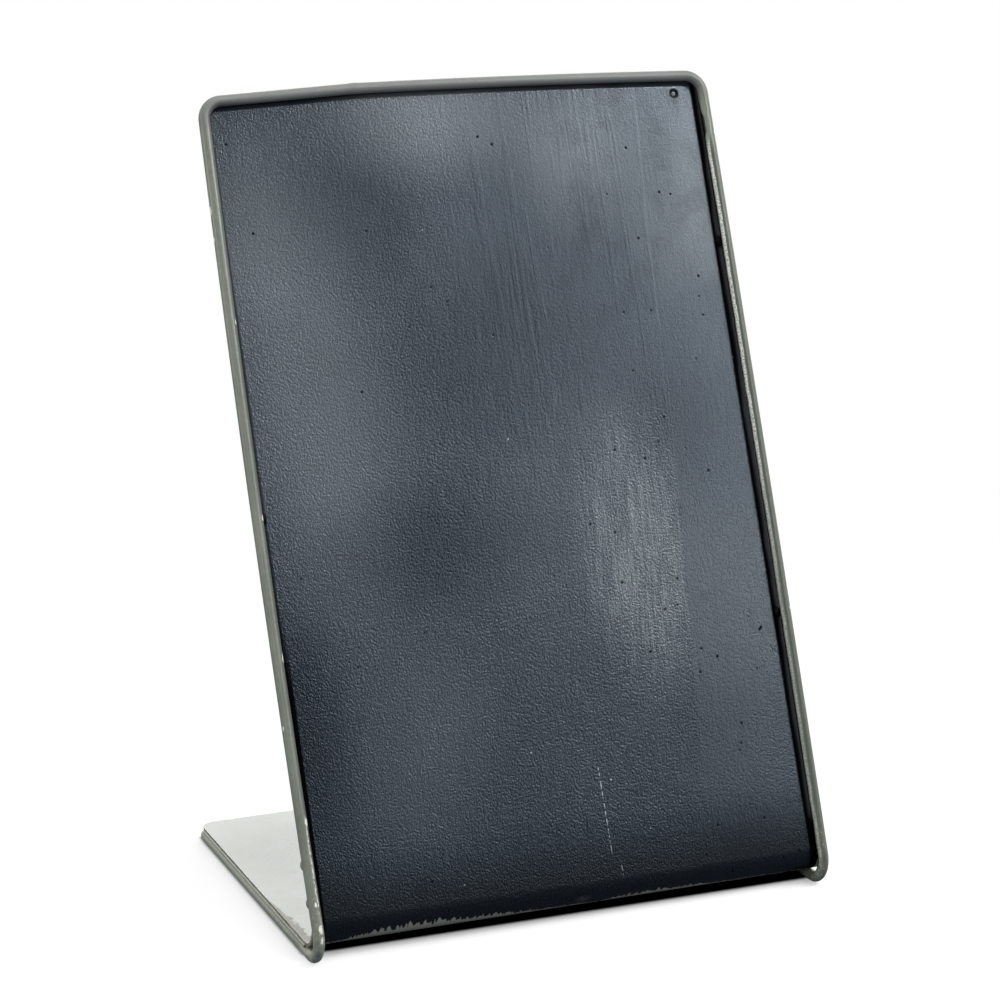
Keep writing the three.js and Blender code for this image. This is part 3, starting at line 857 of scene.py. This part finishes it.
def sweepTree():
    tree, maker = newTree("sweep round wire", {
        "Wire Radius": "Float", "Sides": "Int", "Waviness": "Float", "Seed": "Float", "Finish": "Material",
    })
    given = maker.node("NodeGroupInput")
    curve = maker.node("GeometryNodeMeshToCurve", None, {"Mesh": given})
    centre = maker.node("GeometryNodeInputPosition")
    curve = maker.node("GeometryNodeStoreNamedAttribute", {"data_type": "FLOAT_VECTOR", "domain": "POINT"}, {
        "Geometry": curve, "Name": "wireCentre", "Value": centre,
    })
    section = maker.node("GeometryNodeCurvePrimitiveCircle", {"mode": "RADIUS"}, {
        "Resolution": given.output("Sides"), "Radius": given.output("Wire Radius"),
    })
    swell = maker.node("GeometryNodeInputNamedAttribute", {"data_type": "FLOAT"}, {"Name": "swell"})
    swept = maker.node("GeometryNodeCurveToMesh", None, {
        "Curve": curve, "Profile Curve": section, "Scale": swell, "Fill Caps": True,
    })
    seed = maker.combine(given.output("Seed"), 0.0, 0.0)
    place = maker.vector("ADD", maker.node("GeometryNodeInputPosition"), seed)
    dents = (maker.noise(place, wire["dentScale"], 2.0, 0.5) - wire["dentLevel"]).least(0.0)
    shaped = pushedSurface(maker, swept, dents * given.output("Waviness"))
    finishTree(maker, shaped, given.output("Finish"))
    return tree


wireFrame = addWirePath()
sweep = wireFrame.modifiers.new("sweep", "NODES")
sweep.node_group = sweepTree()
setInputs(sweep, {
    "Wire Radius": (board["wireRadius"] - wire["clearance"]) / 1000,
    "Sides": wire["sides"],
    "Waviness": wire["waviness"] / 1000,
    "Seed": float(wire["seed"]),
    "Finish": wireEnamel,
})
applyModifiers(wireFrame)
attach(wireFrame, "root")
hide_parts("wire_frame", "frame_weld")
print("wire frame:", len(wireFrame.data.polygons), "faces")

# The folded sheet: panel, fold and foot, a little dished between the wires
sheet = {
    "thickness": 0.8,
    "gridStep": 2.0,
    "edgeStep": 0.3,
    "edgeBand": 5.0,
    "foldStep": 0.5,
    "topCornerRows": 14,
    "rearCornerRows": 10,
    "footRows": 46,
    "dish": 0.42,                # the writing side stands forward between the wires
    "dishLeft": (1.1, 2.0),      # it rises between these distances from a wire's centre line
    "dishRight": (2.0, 3.3),
    "shoulder": 0.30,            # the face also curves gently towards the right wire
    "shoulderReach": 18.0,
    "dishTop": (1.7, 2.5),
    "dishRise": 18.0,            # the dish begins at the fold and is whole this far above it
    "cutBevel": 0.12,
    "bevelAngle": 50,            # degrees between faces, from which an edge is bevelled
    "holeRadius": 1.0,
    "holeSides": 32,
    "drillDepths": (-1.0, 5.0),
}


def stretchedSteps(length, band, fine, coarse):
    edge = np.arange(0, band, fine)
    middle = np.linspace(band, length - band, max(2, round((length - 2 * band) / coarse)))
    return np.concatenate((edge, middle, length - edge[::-1]))


# How far the sheet's writing side stands forward of its flat face
def dishAt(x, travel):
    along = foldStart + travel
    distances = (
        (board["halfWidth"] + x, sheet["dishLeft"]),
        (board["halfWidth"] - x, sheet["dishRight"]),
        (board["panelLength"] + topRiseAt(x) - along, sheet["dishTop"]),
    )
    share = 1.0
    for distance, (start, end) in distances:
        part = np.clip((distance - start) / (end - start), 0, 1)
        share = share * part * part * (3 - 2 * part)
    nearRight = np.clip(1 - (board["halfWidth"] - x) / sheet["shoulderReach"], 0, 1)
    curved = sheet["dish"] - sheet["shoulder"] * nearRight ** 2
    aboveFold = np.clip(travel / sheet["dishRise"], 0, 1)
    return curved * share * aboveFold * (2 - aboveFold)


# Half width of an outline with rounded corners, from the distance below its end
def cornerHalf(half, radius, fromEnd):
    inside = np.clip(radius - fromEnd, 0, radius)
    return half - radius + np.sqrt(radius ** 2 - inside ** 2)


def cornerRows(radius, count):
    return radius * (1 - np.cos(np.linspace(0, math.pi / 2, count)))


def gridFaces(rows, columns, start=0, turned=False):
    index = np.arange(rows * columns).reshape(rows, columns) + start
    a, b, c, d = index[:-1, :-1], index[:-1, 1:], index[1:, 1:], index[1:, :-1]
    corners = (a, d, c, b) if turned else (a, b, c, d)
    return np.stack([corner.ravel() for corner in corners], axis=1).tolist()


# Walls that join the rims of two equal grids, the second placed after the first
def rimFaces(rows, columns):
    index = np.arange(rows * columns).reshape(rows, columns)
    rim = np.concatenate((index[0, :-1], index[:-1, -1], index[-1, :0:-1], index[:0:-1, 0]))
    after = np.roll(rim, -1)
    other = rows * columns
    return np.stack((after, rim, rim + other, after + other), axis=1).tolist()


# A closed skin over the sheet's surface, between an outer and an inner lift
def addSkin(name, x, travel, outerLift, innerLift):
    outer = sheetPoints(x, travel, outerLift).reshape(-1, 3)
    inner = sheetPoints(x, travel, innerLift).reshape(-1, 3)
    faces = gridFaces(*x.shape, turned=True) + gridFaces(*x.shape, start=len(outer)) + rimFaces(*x.shape)
    piece = addMesh(name, np.concatenate((outer, inner)), faces)
    piece.data.polygons.foreach_set("use_smooth", np.ones(len(faces), bool))
    return piece


def addSheet():
    margin = board["sheetMargin"]
    half = board["halfWidth"] + margin
    topRadius, rearRadius = board["topCornerRadius"] + margin, board["rearCornerRadius"] + margin
    topTravel = board["panelLength"] + margin - foldStart
    rearTravel = -foldLength - (board["footDepth"] + margin - foldStart)
    topRows = topTravel - cornerRows(topRadius, sheet["topCornerRows"])
    panelRows = np.linspace(topRows[-1], 0, round(topTravel / sheet["gridStep"]))[1:]
    foldRows = np.linspace(0, -foldLength, round(foldLength / sheet["foldStep"]))[1:]
    rearRows = (rearTravel + cornerRows(rearRadius, sheet["rearCornerRows"]))[::-1]
    footRows = np.linspace(-foldLength, rearRows[0], sheet["footRows"])[1:-1]
    rows = np.concatenate((topRows, panelRows, foldRows, footRows, rearRows))
    share = stretchedSteps(2 * half, sheet["edgeBand"], sheet["edgeStep"], sheet["gridStep"]) / half - 1
    widths = cornerHalf(half, topRadius, topTravel - rows)
    widths = np.minimum(widths, cornerHalf(half, rearRadius, rows - rearTravel))
    x = widths[:, None] * share[None, :]
    travel = rows[:, None] + topRiseAt(x) * np.clip(rows / topTravel, 0, 1)[:, None]
    dish = dishAt(x, travel)
    return addSkin("foldedSheet", x, travel, dish, dish - sheet["thickness"])


def drillSheet(piece):
    sides = sheet["holeSides"]
    angle = np.linspace(0, math.tau, sides, endpoint=False)
    x = board["holeX"] + sheet["holeRadius"] * np.cos(angle)
    along = board["holeAlong"] + sheet["holeRadius"] * np.sin(angle)
    points = np.concatenate([panelPoints(x, along, depth) for depth in sheet["drillDepths"]])
    walls = [(i, i + sides, (i + 1) % sides + sides, (i + 1) % sides) for i in range(sides)]
    ends = [tuple(range(sides)), tuple(range(2 * sides - 1, sides - 1, -1))]
    drill = addMesh("drill", points, walls + ends)
    cut = piece.modifiers.new("drip hole", "BOOLEAN")
    cut.operation, cut.object, cut.solver = "DIFFERENCE", drill, "EXACT"
    bevel = piece.modifiers.new("cut edges", "BEVEL")
    bevel.width, bevel.segments = sheet["cutBevel"] / 1000, 2
    bevel.angle_limit = math.radians(sheet["bevelAngle"])
    applyModifiers(piece)
    bpy.data.objects.remove(drill)


foldedSheet = addSheet()
drillSheet(foldedSheet)
foldedSheet.data.materials.append(sheetEnamel)
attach(foldedSheet, "root")
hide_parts("folded_sheet")
print("folded sheet:", len(foldedSheet.data.polygons), "faces")

# The coat of blackboard paint: a thin skin with a ragged brushed end at the fold
coat = {
    "thickness": 0.07,
    "sunk": 0.04,                # its hidden side lies this far inside the sheet
    "margin": -0.45,             # ends under the wires
    "columnStep": 0.26,
    "rowStep": 9.0,
    "rampRows": (22.0, 2.0),     # closer rows above the fold, where the dish rises
    "rampStep": 3.0,
    "foldRowStep": 0.6,
    "foldShare": 0.7,            # the paint covers about this share of the fold
    "cornerRows": 12,
    "holeBand": 1.5,             # finer rows and columns this far round the hole
    "holeSteps": 19,
    "endDegrees": 88.0,          # the fold's lowest visible line; bare heights count up from there
    "raggedSeed": 11,
    "toothLevel": 0.88,          # shares of the bare height
    "teeth": [(0.38, 0.42), (2.6, 0.12)],  # spacing in millimetres and share of the bare height
    "tallTeeth": (0.55, 0.62, 2.0),        # spacing, the level that few teeth pass, and their share
    "bareLimits": (0.02, 3.2),
    # Place and height in millimetres of the bare enamel below the paint
    "bareHeights": [
        (-73.0, 0.15), (-66.0, 0.40), (-60.0, 1.00), (-53.0, 1.75), (-46.0, 1.85), (-38.0, 1.40),
        (-30.0, 1.20), (-20.0, 0.80), (-11.0, 0.40), (8.0, 0.22), (14.0, 0.60), (24.0, 0.80),
        (33.0, 0.65), (42.0, 0.35), (60.0, 0.22), (73.0, 0.16),
    ],
    "dripDepth": 0.42,           # the paint sags into the small hole
    "dripBead": 0.16,
    "dripRim": 0.03,
    "dripFloor": 0.45,
}


def raggedEnd(x):
    seed = coat["raggedSeed"]
    bare = np.interp(x, *zip(*coat["bareHeights"]))
    share = coat["toothLevel"]
    for index, (spacing, amount) in enumerate(coat["teeth"]):
        share = share + amount * lineNoise(x, spacing, seed + index)
    spacing, level, amount = coat["tallTeeth"]
    share = share + amount * np.clip(lineNoise(x, spacing, seed + len(coat["teeth"])) - level, 0, 1)
    bare = np.clip(bare * share, *coat["bareLimits"])
    degrees = coat["endDegrees"] - np.degrees(np.arccos(1 - bare / board["foldRadius"]))
    return -board["foldRadius"] * np.radians(degrees)


# The same places with finer steps near the hole
def finerAt(places, hole):
    fine = hole + np.linspace(-coat["holeBand"], coat["holeBand"], coat["holeSteps"])
    kept = places[(places < fine[0]) | (places > fine[-1])]
    return np.sort(np.concatenate((kept, fine)))


# Lift of the paint's two sides where it sags into the hole. Away counts in radii of the hole.
def dripLift(x, travel):
    away = np.hypot(x - board["holeX"], travel + foldStart - board["holeAlong"]) / sheet["holeRadius"]
    sag = coat["dripBead"] * np.exp(-(away / 0.4) ** 2) - coat["dripDepth"] * np.exp(-(away / 0.85) ** 4)
    rim = coat["dripRim"] * np.exp(-((away - 1.15) / 0.2) ** 2)
    return sag + rim, -coat["dripFloor"] * np.exp(-(away / 0.9) ** 4)


def addCoat():
    margin = coat["margin"]
    half, radius = board["halfWidth"] + margin, board["topCornerRadius"] + margin
    topTravel = board["panelLength"] + margin - foldStart
    topRows = topTravel - cornerRows(radius, coat["cornerRows"])
    rampTop, rampEnd = coat["rampRows"]
    flatRows = np.linspace(topRows[-1], rampTop, round(topTravel / coat["rowStep"]))[1:]
    rampRows = np.arange(rampTop - coat["rampStep"], rampEnd, -coat["rampStep"])
    rows = np.concatenate((topRows, flatRows, rampRows, [rampEnd]))
    rows = finerAt(rows, board["holeAlong"] - foldStart)[::-1]
    columns = np.linspace(-half, half, round(2 * half / coat["columnStep"]) + 1)
    columns = finerAt(columns, board["holeX"])
    widths = cornerHalf(half, radius, topTravel - rows)
    x = widths[:, None] * columns[None, :] / half
    travel = rows[:, None] + topRiseAt(x) * np.clip(rows / topTravel, 0, 1)[:, None]

    # The rows round the fold run down to the ragged end
    tailCount = round((rampEnd + foldLength * coat["foldShare"]) / coat["foldRowStep"])
    tail = np.linspace(0, 1, tailCount)[1:, None]
    tailTravel = travel[-1] + (raggedEnd(columns) - travel[-1]) * tail
    x = np.concatenate((x, np.broadcast_to(columns, tailTravel.shape)))
    travel = np.concatenate((travel, tailTravel))
    dish = dishAt(x, travel)
    outerDrip, innerDrip = dripLift(x, travel)
    outerLift = dish + coat["thickness"] + outerDrip
    return addSkin("blackboardCoat", x, travel, outerLift, dish - coat["sunk"] + innerDrip)


blackboardCoat = addCoat()
blackboardCoat.data.materials.append(blackboardPaint)
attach(blackboardCoat, "root")
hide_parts("blackboard_coat")
print("blackboard coat:", len(blackboardCoat.data.polygons), "faces")

# Tack welds between wire and sheet: one bead is placed on each point of a small mesh
tacks = {
    "innerRadius": 0.85, "innerLength": 3.2,
    "outerRadius": 0.62, "outerLength": 2.6,
    "leftFace": [118.0], "rightFace": [77.0, 183.0],
    "sideEdges": [17.0, 27.0],
    "topEdges": [-45.0, 45.0],
    "foot": [34.0, 80.0],
    "rear": [-45.0, 45.0],
    "lumps": 0.30,               # share of a bead's radius
    "seed": 7,
}


# Each tack: its middle, the direction along its wire, and its bead's half sizes in metres
def tackPlaces():
    radius, small = tacks["innerRadius"], tacks["outerRadius"]
    inner = (-board["wireRadius"] - radius / 2, board["wireRadius"] - radius / 2)
    outer = (board["sheetMargin"] + small * 0.4, board["sheetDepth"] - small * 0.4)
    big = np.array((radius, radius, tacks["innerLength"] / 2)) / 1000
    little = np.array((small, small, tacks["outerLength"] / 2)) / 1000
    places = []

    def add(centre, outward, towardSheet, offset, run, size):
        places.append((centre + offset[0] * outward + offset[1] * towardSheet, run, size))

    for side, bow, face in ((-1, "leftBow", "leftFace"), (1, "rightBow", "rightFace")):
        for kinds, offset, size in ((tacks[face], inner, big), (tacks["sideEdges"], outer, little)):
            for along in kinds:
                shift = bowAt(np.array(along), board[bow])
                centre = panelPoints(side * (board["halfWidth"] + shift), along)
                add(centre, side * across, behind, offset, slope, size)
        for distance in tacks["foot"]:
            centre = np.array((side * board["halfWidth"], distance, board["wireRadius"]))
            add(centre, side * across, upright, inner, backward, big)
    for x in tacks["topEdges"]:
        centre = panelPoints(x, board["panelLength"] + topRiseAt(np.array(x)))
        add(centre, slope, behind, outer, across, little)
    for x in tacks["rear"]:
        centre = np.array((x, board["footDepth"], board["wireRadius"]))
        add(centre, backward, upright, inner, across, big)
    return places


def beadTree():
    tree, maker = newTree("tack weld beads", {
        "Lumps": "Float", "Seed": "Int", "Finish": "Material",
    })
    given = maker.node("NodeGroupInput")
    run = maker.node("GeometryNodeInputNamedAttribute", {"data_type": "FLOAT_VECTOR"}, {"Name": "run"})
    size = maker.node("GeometryNodeInputNamedAttribute", {"data_type": "FLOAT_VECTOR"}, {"Name": "beadSize"})
    turn = maker.node("FunctionNodeAlignRotationToVector", {"axis": "Z"}, {"Vector": run})
    ball = maker.node("GeometryNodeMeshIcoSphere", None, {"Radius": 1.0, "Subdivisions": 4})
    spin = maker.node("FunctionNodeRandomValue", {"data_type": "FLOAT"}, {
        "Min": 0.0, "Max": math.tau, "Seed": given.output("Seed"),
    })
    spin = maker.node("FunctionNodeEulerToRotation", None, {"Euler": maker.combine(0.0, 0.0, spin)})
    turn = maker.node("FunctionNodeRotateRotation", {"rotation_space": "LOCAL"}, {
        "Rotation": turn, "Rotate By": spin,
    })
    lumps = maker.noise(maker.node("GeometryNodeInputPosition"), 0.9, 2.0, 0.6) - 0.5
    lumpy = pushedSurface(maker, ball, lumps * given.output("Lumps"))
    beads = maker.node("GeometryNodeInstanceOnPoints", None, {
        "Points": given, "Instance": lumpy, "Rotation": turn, "Scale": size,
    })
    finishTree(maker, beads, given.output("Finish"))
    return tree


centres, runs, beadSizes = zip(*tackPlaces())
tackWelds = addMesh("tackWelds", centres)
addAttribute(tackWelds, "run", runs)
addAttribute(tackWelds, "beadSize", beadSizes)
beads = tackWelds.modifiers.new("beads", "NODES")
beads.node_group = beadTree()
setInputs(beads, {"Lumps": tacks["lumps"], "Seed": tacks["seed"], "Finish": weldEnamel})
applyModifiers(tackWelds)
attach(tackWelds, "root")
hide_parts(*[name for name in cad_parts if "tack" in name])
print("tack welds:", len(centres))

# Studio: white floor and background, soft boxes, and the camera at the photograph's angle
studio = {
    "floorSize": 6.0,
    "floorColour": (0.97, 0.97, 0.97),
    "floorBounce": (0.11, 0.13, 0.17),
    # Half width, front and back of the painted shadow under the foot, where the ground is coloured black, in
    # metres
    "footprint": (0.0732, -0.0419, 0.0525),
    "frontSkew": -0.019,
    "footprintEdge": 0.002,
    "shadowReach": 0.0078,       # the shadow fades into the white backdrop over this distance
    "shadowShare": 0.8,
    "nearShare": 0.90,           # share of white near the object, rising to all of it over the far reach
    "farReach": (0.10, 0.40),
    "frontLevel": 0.09,          # how bright the room in front looks to the object
    "backLevel": 1.1,
    "roomFade": (-0.6, 0.3),
    "glowLevel": 2.5,            # added low behind the object
    "glowDirection": (158, 10),
    "glowSpread": (0.80, 0.97),
    "targetHeight": 0.11,        # the lamps face this height above the table
    "lamps": {                   # azimuth, elevation, distance, width, height, watts
        "keyLamp": (46, 42, 1.3, 0.30, 0.30, 6.4),
        "highLamp": (24, 62, 1.3, 0.25, 0.25, 4.2),
        "lowLamp": (36, 21, 1.3, 0.20, 0.30, 1.9),
        "frontLamp": (30, 32, 1.3, 0.25, 0.25, 0.6),
        "sideLamp": (60, 32, 1.3, 0.25, 0.25, 3.8),
        "rightLamp": (75, 45, 1.3, 0.25, 0.25, 3.0),
        "nearLamp": (-40, 22, 1.3, 0.25, 0.30, 2.2),
        "leftLamp": (-90, 22, 1.4, 0.6, 0.9, 6.0),
        "topLamp": (0, 78, 1.5, 1.0, 1.0, 3.6),
    },
}
camera = {
    "azimuth": -21.91, "elevation": 14.41, "roll": -0.41,
    "place": (-0.30387, -0.75361, 0.31489),
    "lens": 109.8,
}


def direction(azimuth, elevation):
    a, e = math.radians(azimuth), math.radians(elevation)
    return Vector((math.sin(a) * math.cos(e), -math.cos(a) * math.cos(e), math.sin(e)))


def addLamp(name, azimuth, elevation, distance, width, height, watts):
    lamp = bpy.data.lights.new(name, "AREA")
    lamp.shape, lamp.size, lamp.size_y, lamp.energy = "RECTANGLE", width, height, watts
    made = bpy.data.objects.new(name, lamp)
    target = Vector((0, 0, studio["targetHeight"]))
    away = direction(azimuth, elevation)
    made.location = target + away * distance
    made.rotation_euler = away.to_track_quat("Z", "Y").to_euler()
    bpy.context.scene.collection.objects.link(made)


def addFloor():
    side = studio["floorSize"] / 2 * 1000
    corners = np.array([(-side, -side, 0), (side, -side, 0), (side, side, 0), (-side, side, 0)])
    floor = addMesh("floor", corners, [(0, 1, 2, 3)])
    material, maker = newMaterial("white floor")
    seen = maker.node("ShaderNodeLightPath").output("Is Camera Ray")
    bounce = maker.node("ShaderNodeBsdfDiffuse", None, {"Color": (*studio["floorBounce"], 1.0)})
    white = maker.node("ShaderNodeEmission", None, {"Color": (1, 1, 1, 1), "Strength": 1.0})
    place = maker.node("ShaderNodeTexCoord").output("Object")
    parts = maker.node("ShaderNodeSeparateXYZ", None, {0: place})
    x, y = parts.output("X"), parts.output("Y")
    half, front, back = studio["footprint"]
    beside = (abs(x) - half).most(0.0)
    beyond = (y - back).most(x * studio["frontSkew"] + front - y).most(0.0)
    away = (beside * beside + beyond * beyond) ** 0.5
    outside = away.step(0.0, studio["footprintEdge"])
    # Painted shadow: the ground under the foot is coloured black
    groundWithShadow = maker.mixColour(outside, (0.0, 0.0, 0.0), studio["floorColour"])
    shown = maker.node("ShaderNodeBsdfDiffuse", None, {"Color": groundWithShadow})
    faded = 1 - studio["shadowShare"] * math.e ** (away * (-1 / studio["shadowReach"]))
    farther = away.step(*studio["farReach"]) * (1 - studio["nearShare"])
    faded = outside * faded * (studio["nearShare"] + farther)
    shown = maker.node("ShaderNodeMixShader", None, {0: faded, 1: shown, 2: white})
    mixed = maker.node("ShaderNodeMixShader", None, {0: seen, 1: bounce, 2: shown})
    maker.node("ShaderNodeOutputMaterial", None, {"Surface": mixed})
    floor.data.materials.append(material)


def addWorld():
    world = bpy.data.worlds.new("studio")
    bpy.context.scene.world = world
    world.use_nodes = True
    world.node_tree.nodes.clear()
    maker = Maker(world.node_tree)
    look = maker.node("ShaderNodeTexCoord")
    parts = maker.node("ShaderNodeSeparateXYZ", None, {0: look})
    fromFront = parts.output("Y").step(*studio["roomFade"])
    level = studio["frontLevel"] + fromFront * (studio["backLevel"] - studio["frontLevel"])
    glow = maker.dot(look, tuple(direction(*studio["glowDirection"]))).step(*studio["glowSpread"])
    level = level + glow * studio["glowLevel"]
    seen = maker.node("ShaderNodeLightPath").output("Is Camera Ray")
    level = level * (1 - seen) + seen
    light = maker.node("ShaderNodeBackground", None, {"Color": (1, 1, 1, 1), "Strength": level})
    maker.node("ShaderNodeOutputWorld", None, {"Surface": light})


def addCamera():
    data = bpy.data.cameras.new("camera")
    data.lens, data.sensor_width = camera["lens"], 36
    data.clip_start, data.clip_end = 0.01, 50
    made = bpy.data.objects.new("camera", data)
    back = direction(camera["azimuth"], camera["elevation"])
    azimuth = math.radians(camera["azimuth"])
    right = Vector((math.cos(azimuth), math.sin(azimuth), 0))
    up = back.cross(right)
    roll = math.radians(camera["roll"])
    turnedRight = math.cos(roll) * right + math.sin(roll) * up
    turnedUp = -math.sin(roll) * right + math.cos(roll) * up
    turn = Matrix((turnedRight, turnedUp, back)).transposed()
    made.matrix_world = Matrix.Translation(camera["place"]) @ turn.to_4x4()
    bpy.context.scene.collection.objects.link(made)
    bpy.context.scene.camera = made


addFloor()
addWorld()
for lampName, settings in studio["lamps"].items():
    addLamp(lampName, *settings)
addCamera()
bpy.context.scene.view_settings.view_transform = "Standard"
print("studio made")
